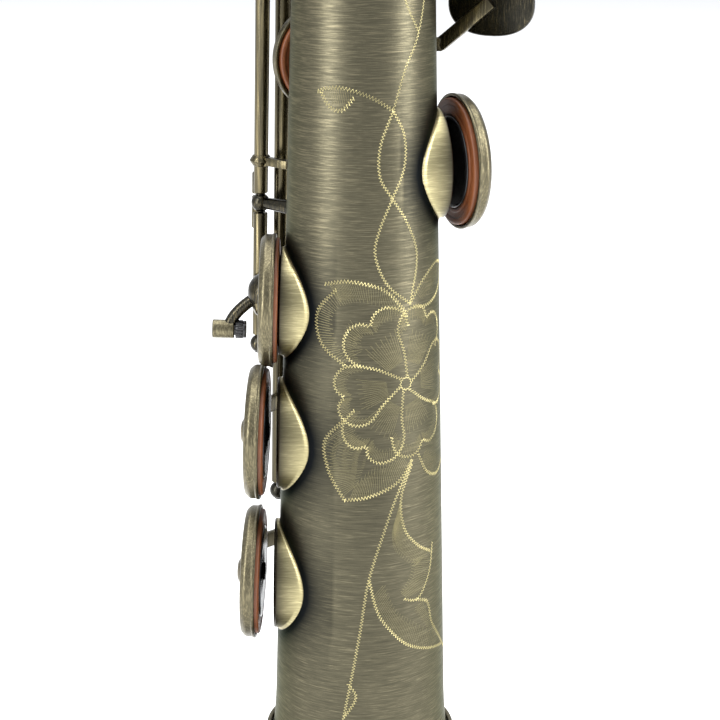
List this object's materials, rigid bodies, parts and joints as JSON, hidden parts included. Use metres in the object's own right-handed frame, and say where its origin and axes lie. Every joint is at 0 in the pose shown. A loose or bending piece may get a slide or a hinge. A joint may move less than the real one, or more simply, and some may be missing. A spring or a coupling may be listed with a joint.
{
  "type": "soprano saxophone",
  "caption": "Straight soprano saxophone with a conical engraved body, flared bell, hinged padded keys on rods and posts, neck, mouthpiece, reed and ligature.",
  "frame": {"origin": "centre of the bell rim, on the bore axis, where the bell rests", "axes": "+Z along the bore towards the mouthpiece, +Y to the front where the main key stack lies, -Y to the thumb side, -X to the player's left"},
  "size_m": [0.092, 0.092, 0.702],
  "materials": {
    "antique_brass": "brushed antique brass, grey-olive, with dark patina",
    "key_brass": "satin brushed brass with dark edges",
    "pad_leather": "reddish-brown leather",
    "cork": "fine cork",
    "ebonite": "polished black ebonite",
    "cane": "dry cane"
  },
  "bodies": {
    "body": {"bell": "antique_brass", "bell_ring": "key_brass", "body_tube": "antique_brass", "ligature": "key_brass", "ligature_screw_1": "key_brass", "ligature_screw_2": "key_brass", "mouthpiece": "ebonite", "neck": "antique_brass", "neck_cork": "cork", "neck_screw": "key_brass", "reed": "cane", "thumb_hook": "key_brass", "thumb_rest": "ebonite"},
    "low_b_flat": {"low_b_flat_key": "key_brass", "low_b_flat_pad": "pad_leather"},
    "low_b": {"low_b_key": "key_brass", "low_b_pad": "pad_leather"},
    "low_c_sharp": {"low_c_sharp_key": "key_brass", "low_c_sharp_pad": "pad_leather"},
    "low_c": {"low_c_key": "key_brass", "low_c_pad": "pad_leather"},
    "low_e_flat": {"low_e_flat_key": "key_brass", "low_e_flat_pad": "pad_leather"},
    "d": {"d_key": "key_brass", "d_pad": "pad_leather"},
    "e": {"e_key": "key_brass", "e_pad": "pad_leather"},
    "f": {"f_key": "key_brass", "f_pad": "pad_leather"},
    "f_sharp": {"f_sharp_key": "key_brass", "f_sharp_pad": "pad_leather"},
    "g_sharp": {"g_sharp_key": "key_brass", "g_sharp_pad": "pad_leather"},
    "g": {"g_key": "key_brass", "g_pad": "pad_leather"},
    "a": {"a_key": "key_brass", "a_pad": "pad_leather"},
    "bis": {"bis_key": "key_brass", "bis_pad": "pad_leather"},
    "b": {"b_key": "key_brass", "b_pad": "pad_leather"},
    "c": {"c_key": "key_brass", "c_pad": "pad_leather"},
    "side_b_flat": {"side_b_flat_key": "key_brass", "side_b_flat_pad": "pad_leather"},
    "side_c": {"side_c_key": "key_brass", "side_c_pad": "pad_leather"},
    "high_e": {"high_e_key": "key_brass", "high_e_pad": "pad_leather"},
    "low_c_sharp_lever": {"low_c_sharp_lever": "key_brass"},
    "palm_d": {"palm_d_key": "key_brass", "palm_d_pad": "pad_leather"},
    "palm_e_flat": {"palm_e_flat_key": "key_brass", "palm_e_flat_pad": "pad_leather"},
    "palm_f": {"palm_f_key": "key_brass", "palm_f_pad": "pad_leather"},
    "octave": {"octave_key": "key_brass", "octave_pad": "pad_leather"},
    "lower_vent": {"lower_vent_key": "key_brass", "lower_vent_pad": "pad_leather"}
  },
  "joints": [
    {"name": "low_b_flat_hinge", "type": "hinge", "parent": "body", "child": "low_b_flat", "pos_m": [-0.01433, 0.02695, 0.218], "axis": [0.0129, -0.0243, 0.9996], "range_deg": [0, 4.8], "stiffness_Nm_per_rad": 0.02, "springref_deg": -34.38},
    {"name": "low_b_hinge", "type": "hinge", "parent": "body", "child": "low_b", "pos_m": [-0.01949, 0.02322, 0.2435], "axis": [0.0177, -0.0211, 0.9996], "range_deg": [0, 4.8], "stiffness_Nm_per_rad": 0.02, "springref_deg": -34.38},
    {"name": "low_c_sharp_hinge", "type": "hinge", "parent": "body", "child": "low_c_sharp", "pos_m": [-0.02567, 0.02042, 0.17875], "axis": [-0.0215, 0.0171, -0.9996], "range_deg": [0, 8], "stiffness_Nm_per_rad": 0.02, "springref_deg": -34.38},
    {"name": "low_c_hinge", "type": "hinge", "parent": "body", "child": "low_c", "pos_m": [0.01399, 0.02239, 0.222], "axis": [0.0146, 0.0233, -0.9996], "range_deg": [0, 6.8], "stiffness_Nm_per_rad": 0.02, "springref_deg": -34.38},
    {"name": "low_e_flat_hinge", "type": "hinge", "parent": "body", "child": "low_e_flat", "pos_m": [0.00616, 0.02472, 0.2375], "axis": [0.0067, 0.0267, -0.9996], "range_deg": [0, 5], "stiffness_Nm_per_rad": 0.02, "springref_deg": -34.38},
    {"name": "d_hinge", "type": "hinge", "parent": "body", "child": "d", "pos_m": [0.01651, 0.01436, 0.2775], "axis": [-0.0207, -0.018, 0.9996], "range_deg": [0, 7.8], "stiffness_Nm_per_rad": 0.02, "springref_deg": -34.38},
    {"name": "e_hinge", "type": "hinge", "parent": "body", "child": "e", "pos_m": [0.01589, 0.01381, 0.3075], "axis": [-0.0207, -0.018, 0.9996], "range_deg": [0, 7.8], "stiffness_Nm_per_rad": 0.02, "springref_deg": -34.38},
    {"name": "f_hinge", "type": "hinge", "parent": "body", "child": "f", "pos_m": [0.01528, 0.01329, 0.33675], "axis": [-0.0207, -0.018, 0.9996], "range_deg": [0, 7.8], "stiffness_Nm_per_rad": 0.02, "springref_deg": -34.38},
    {"name": "f_sharp_hinge", "type": "hinge", "parent": "body", "child": "f_sharp", "pos_m": [0.01471, 0.01279, 0.3645], "axis": [-0.0207, -0.018, 0.9996], "range_deg": [0, 7.8], "stiffness_Nm_per_rad": 0.02, "springref_deg": -34.38},
    {"name": "g_sharp_hinge", "type": "hinge", "parent": "body", "child": "g_sharp", "pos_m": [-0.01198, 0.01378, 0.391], "axis": [0.018, -0.0207, 0.9996], "range_deg": [0, 14], "stiffness_Nm_per_rad": 0.02, "springref_deg": -34.38},
    {"name": "g_hinge", "type": "hinge", "parent": "body", "child": "g", "pos_m": [0.01368, 0.01189, 0.41425], "axis": [-0.0207, -0.018, 0.9996], "range_deg": [0, 8.8], "stiffness_Nm_per_rad": 0.02, "springref_deg": -34.38},
    {"name": "a_hinge", "type": "hinge", "parent": "body", "child": "a", "pos_m": [0.01319, 0.01146, 0.43775], "axis": [-0.0207, -0.018, 0.9996], "range_deg": [0, 8.8], "stiffness_Nm_per_rad": 0.02, "springref_deg": -34.38},
    {"name": "bis_hinge", "type": "hinge", "parent": "body", "child": "bis", "pos_m": [0.01274, 0.01107, 0.4595], "axis": [-0.0207, -0.018, 0.9996], "range_deg": [0, 8.8], "stiffness_Nm_per_rad": 0.02, "springref_deg": -34.38},
    {"name": "b_hinge", "type": "hinge", "parent": "body", "child": "b", "pos_m": [0.01231, 0.0107, 0.48], "axis": [-0.0207, -0.018, 0.9996], "range_deg": [0, 8.8], "stiffness_Nm_per_rad": 0.02, "springref_deg": -34.38},
    {"name": "c_hinge", "type": "hinge", "parent": "body", "child": "c", "pos_m": [0.0119, 0.01034, 0.5], "axis": [-0.0207, -0.018, 0.9996], "range_deg": [0, 8.8], "stiffness_Nm_per_rad": 0.02, "springref_deg": -34.38},
    {"name": "side_b_flat_hinge", "type": "hinge", "parent": "body", "child": "side_b_flat", "pos_m": [0.01632, -0.00868, 0.401], "axis": [0.0243, -0.0129, -0.9996], "range_deg": [0, 14], "stiffness_Nm_per_rad": 0.02, "springref_deg": -34.38},
    {"name": "side_c_hinge", "type": "hinge", "parent": "body", "child": "side_c", "pos_m": [0.01277, -0.01233, 0.4275], "axis": [0.0198, -0.0191, -0.9996], "range_deg": [0, 14], "stiffness_Nm_per_rad": 0.02, "springref_deg": -34.38},
    {"name": "high_e_hinge", "type": "hinge", "parent": "body", "child": "high_e", "pos_m": [0.00808, -0.01458, 0.467], "axis": [0.0133, -0.024, -0.9996], "range_deg": [0, 14], "stiffness_Nm_per_rad": 0.02, "springref_deg": -34.38},
    {"name": "low_c_sharp_lever_hinge", "type": "hinge", "parent": "body", "child": "low_c_sharp_lever", "pos_m": [-0.02337, 0.01859, 0.2855], "axis": [-0.0215, 0.0171, -0.9996], "range_deg": [0, 8], "stiffness_Nm_per_rad": 0.02, "springref_deg": -34.38},
    {"name": "palm_d_hinge", "type": "hinge", "parent": "body", "child": "palm_d", "pos_m": [-0.01153, 0.01113, 0.4905], "axis": [-0.6947, -0.7193, 0], "range_deg": [0, 9], "stiffness_Nm_per_rad": 0.02, "springref_deg": -34.38},
    {"name": "palm_e_flat_hinge", "type": "hinge", "parent": "body", "child": "palm_e_flat", "pos_m": [-0.01559, 0.00054, 0.506], "axis": [-0.0349, -0.9994, 0], "range_deg": [0, 8.5], "stiffness_Nm_per_rad": 0.02, "springref_deg": -34.38},
    {"name": "palm_f_hinge", "type": "hinge", "parent": "body", "child": "palm_f", "pos_m": [-0.01172, -0.00851, 0.5465], "axis": [0.5878, -0.809, 0], "range_deg": [0, 9], "stiffness_Nm_per_rad": 0.02, "springref_deg": -34.38},
    {"name": "octave_hinge", "type": "hinge", "parent": "body", "child": "octave", "pos_m": [0, -0.01374, 0.5735], "axis": [1, 0, 0], "range_deg": [0, 5], "stiffness_Nm_per_rad": 0.02, "springref_deg": -34.38},
    {"name": "lower_vent_hinge", "type": "hinge", "parent": "body", "child": "lower_vent", "pos_m": [-0.00958, -0.01368, 0.466], "axis": [-0.8192, 0.5736, 0], "range_deg": [0, 8], "stiffness_Nm_per_rad": 0.02, "springref_deg": -34.38}
  ],
  "couplings": [
    {"joint": "low_c_sharp_hinge", "follows": "low_c_sharp_lever_hinge", "ratio": 1},
    {"joint": "f_sharp_hinge", "follows": "f_hinge", "ratio": 1},
    {"joint": "c_hinge", "follows": "a_hinge", "ratio": 1}
  ]
}
